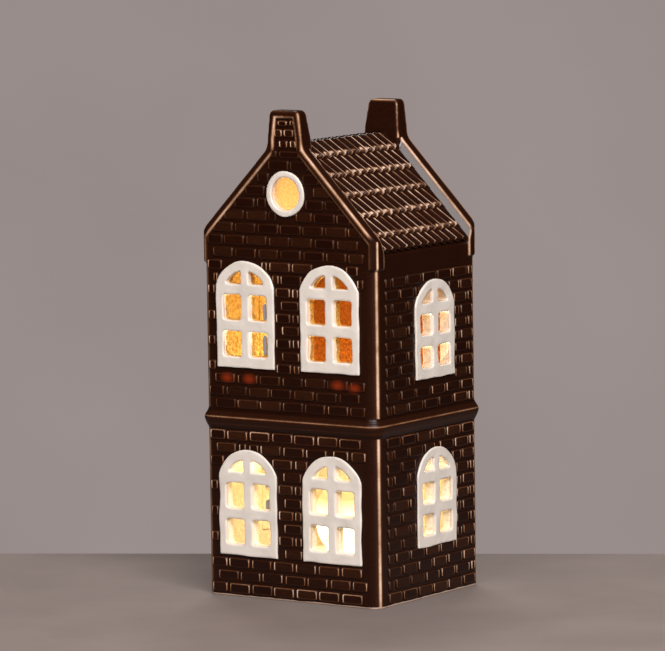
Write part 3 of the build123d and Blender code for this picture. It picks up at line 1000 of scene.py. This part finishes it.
lamp_warm = (1.0, 0.85, 0.58)
unit_materials = {
    "light_housing": plain_material(
        "white_plastic", (0.74, 0.72, 0.67), (0.82, 0.80, 0.75), 1.2, (0.35, 0.5)),
    "retaining_ring": plain_material(
        "clear_silicone", (0.66, 0.65, 0.62), (0.74, 0.73, 0.70), 0.9, (0.55, 0.75)),
    "lamp_diffuser": glowing_material("frosted_plastic", (0.78, 0.68, 0.46), lamp_warm, 3.0, 0.15),
    "led_lamp": glowing_material("led_resin", (0.95, 0.88, 0.66), lamp_warm, 16.0, 20.0),
    "led_resistor": plain_material(
        "resistor_lacquer", (0.52, 0.42, 0.28), (0.62, 0.52, 0.36), 0.6, (0.2, 0.35)),
    "circuit_board": plain_material(
        "board", (0.06, 0.19, 0.08), (0.10, 0.26, 0.12), 1.5, (0.3, 0.45)),
    "switch_slider": plain_material(
        "black_plastic", (0.025, 0.025, 0.027), (0.045, 0.045, 0.047), 0.5, (0.4, 0.55)),
    "coin_cell": plain_material(
        "steel", (0.52, 0.52, 0.50), (0.66, 0.66, 0.64), 0.7, (0.2, 0.4), 1.0, 0.01),
}
shared = {
    "light_base": "light_housing", "battery_door": "light_housing", "switch_case": "coin_cell",
    "contact_spring": "coin_cell", "contact_clip": "coin_cell", "door_screw": "coin_cell",
}
for node, other in shared.items():
    unit_materials[node] = unit_materials[other]
for node, material in unit_materials.items():
    nodes[node].data.materials.clear()
    nodes[node].data.materials.append(material)


# Table, studio light and camera, in metres

beam_power = 0.15
beam_size = 0.014
beam_gap = 0.0015
light_aim = Vector((0, 0, 0.10))
camera_turn = math.radians(34.476)
camera_lift = math.radians(6.405)
camera_roll = math.radians(-0.813)
camera_distance = 2.046173
camera_lens = 284.51
aim_height = 0.103746
aim_shift = -0.003271

back = Vector((math.sin(camera_turn) * math.cos(camera_lift),
               -math.cos(camera_turn) * math.cos(camera_lift),
               math.sin(camera_lift)))
right = Vector((math.cos(camera_turn), math.sin(camera_turn), 0))
up = back.cross(right)
rolled_right = right * math.cos(camera_roll) + up * math.sin(camera_roll)
rolled_up = up * math.cos(camera_roll) - right * math.sin(camera_roll)
eye = Vector((0, 0, aim_height)) + right * aim_shift + back * camera_distance

camera = bpy.data.objects.new("camera", bpy.data.cameras.new("camera"))
camera.data.sensor_fit = "HORIZONTAL"
camera.data.sensor_width = 36.0
camera.data.lens = camera_lens
camera.matrix_world = Matrix((
    (rolled_right.x, rolled_up.x, back.x, eye.x),
    (rolled_right.y, rolled_up.y, back.y, eye.y),
    (rolled_right.z, rolled_up.z, back.z, eye.z),
    (0, 0, 0, 1),
))
bpy.context.scene.collection.objects.link(camera)
bpy.context.scene.camera = camera

table_width = 0.9
table_front = 0.45
table_rear = 0.0885
table_skew = 0.043
table_fall = (0.45, 0.09)
backdrop_distance = 3.0
backdrop_size = 1.4


def table():
    mesh = bpy.data.meshes.new("table")
    forward = Vector((back.x, back.y, 0)).normalized()
    fall_reach, fall_depth = table_fall
    rows = ((table_front, 0.0, 0.0),
            (-table_rear, table_skew, 0.0),
            (-table_rear - fall_reach, table_skew, -fall_depth))
    corners = [right * (side * table_width / 2) + forward * (reach + side * skew) + Vector((0, 0, level))
               for reach, skew, level in rows for side in (-1, 1)]
    mesh.from_pydata(corners, [], [(0, 1, 3, 2), (2, 3, 5, 4)])
    material, tree, shader = new_material("table")
    cloud = noise_node(tree, 45.0, 5.0)
    tree.links.new(ramp_node(tree, cloud, ((0.3, (0.190, 0.153, 0.141)), (0.7, (0.223, 0.180, 0.166)))),
                   shader.inputs["Base Color"])
    shader.inputs["Roughness"].default_value = 0.75
    shader.inputs["Specular IOR Level"].default_value = 0.2
    mesh.materials.append(material)
    plane = bpy.data.objects.new("table", mesh)
    bpy.context.scene.collection.objects.link(plane)


def softbox(name, place, size, power, colour=(1.0, 0.97, 0.94)):
    lamp = bpy.data.lights.new(name, "AREA")
    lamp.shape = "RECTANGLE"
    lamp.size = lamp.size_y = size
    lamp.energy = power
    lamp.color = colour
    made = bpy.data.objects.new(name, lamp)
    made.location = place
    made.rotation_euler = (light_aim - Vector(place)).to_track_quat("-Z", "Y").to_euler()
    bpy.context.scene.collection.objects.link(made)


def studio_world():
    world = bpy.data.worlds.new("studio")
    world.use_nodes = True
    world.node_tree.nodes["Background"].inputs["Color"].default_value = (0.035, 0.032, 0.030, 1.0)
    bpy.context.scene.world = world


def backdrop():
    """Plain grey wall far behind the table."""
    mesh = bpy.data.meshes.new("backdrop")
    middle = Vector((0, 0, aim_height)) - back * backdrop_distance
    reach = backdrop_size / 2
    signs = ((-1, -1), (1, -1), (1, 1), (-1, 1))
    corners = [middle + right * (a * reach) + up * (b * reach) for a, b in signs]
    mesh.from_pydata(corners, [], [(0, 1, 2, 3)])
    material, tree, shader = new_material("backdrop")
    cloud = noise_node(tree, 400.0, 3.0)
    tree.links.new(ramp_node(tree, cloud, ((0.3, (0.290, 0.246, 0.238)), (0.7, (0.330, 0.280, 0.272)))),
                   shader.inputs["Emission Color"])
    shader.inputs["Emission Strength"].default_value = 1.0
    shader.inputs["Base Color"].default_value = (0.0, 0.0, 0.0, 1.0)
    shader.inputs["Specular IOR Level"].default_value = 0.0
    mesh.materials.append(material)
    plane = bpy.data.objects.new("backdrop", mesh)
    bpy.context.scene.collection.objects.link(plane)


def lamp_beam():
    """The light that the lamp throws up into the roof; it moves with the light unit."""
    lamp = bpy.data.lights.new("beam", "AREA")
    lamp.shape = "DISK"
    lamp.size = beam_size
    lamp.energy = beam_power
    lamp.color = lamp_warm
    made = bpy.data.objects.new("beam", lamp)
    made.location = (0, 0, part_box("lamp_diffuser")[1][2] + beam_gap)
    made.rotation_euler = (math.pi, 0, 0)
    bpy.context.scene.collection.objects.link(made)
    made.parent = nodes["lamp_diffuser"]


table()
backdrop()
lamp_beam()
softbox("key", (0.95, -0.80, 0.95), 0.9, 30.0)
softbox("fill", (0.18, -1.25, 0.92), 0.6, 7.5, (1.0, 0.93, 0.91))
softbox("rear", (-0.55, 0.75, 1.5), 0.6, 13.0)
studio_world()
bpy.context.scene.view_settings.view_transform = "Standard"
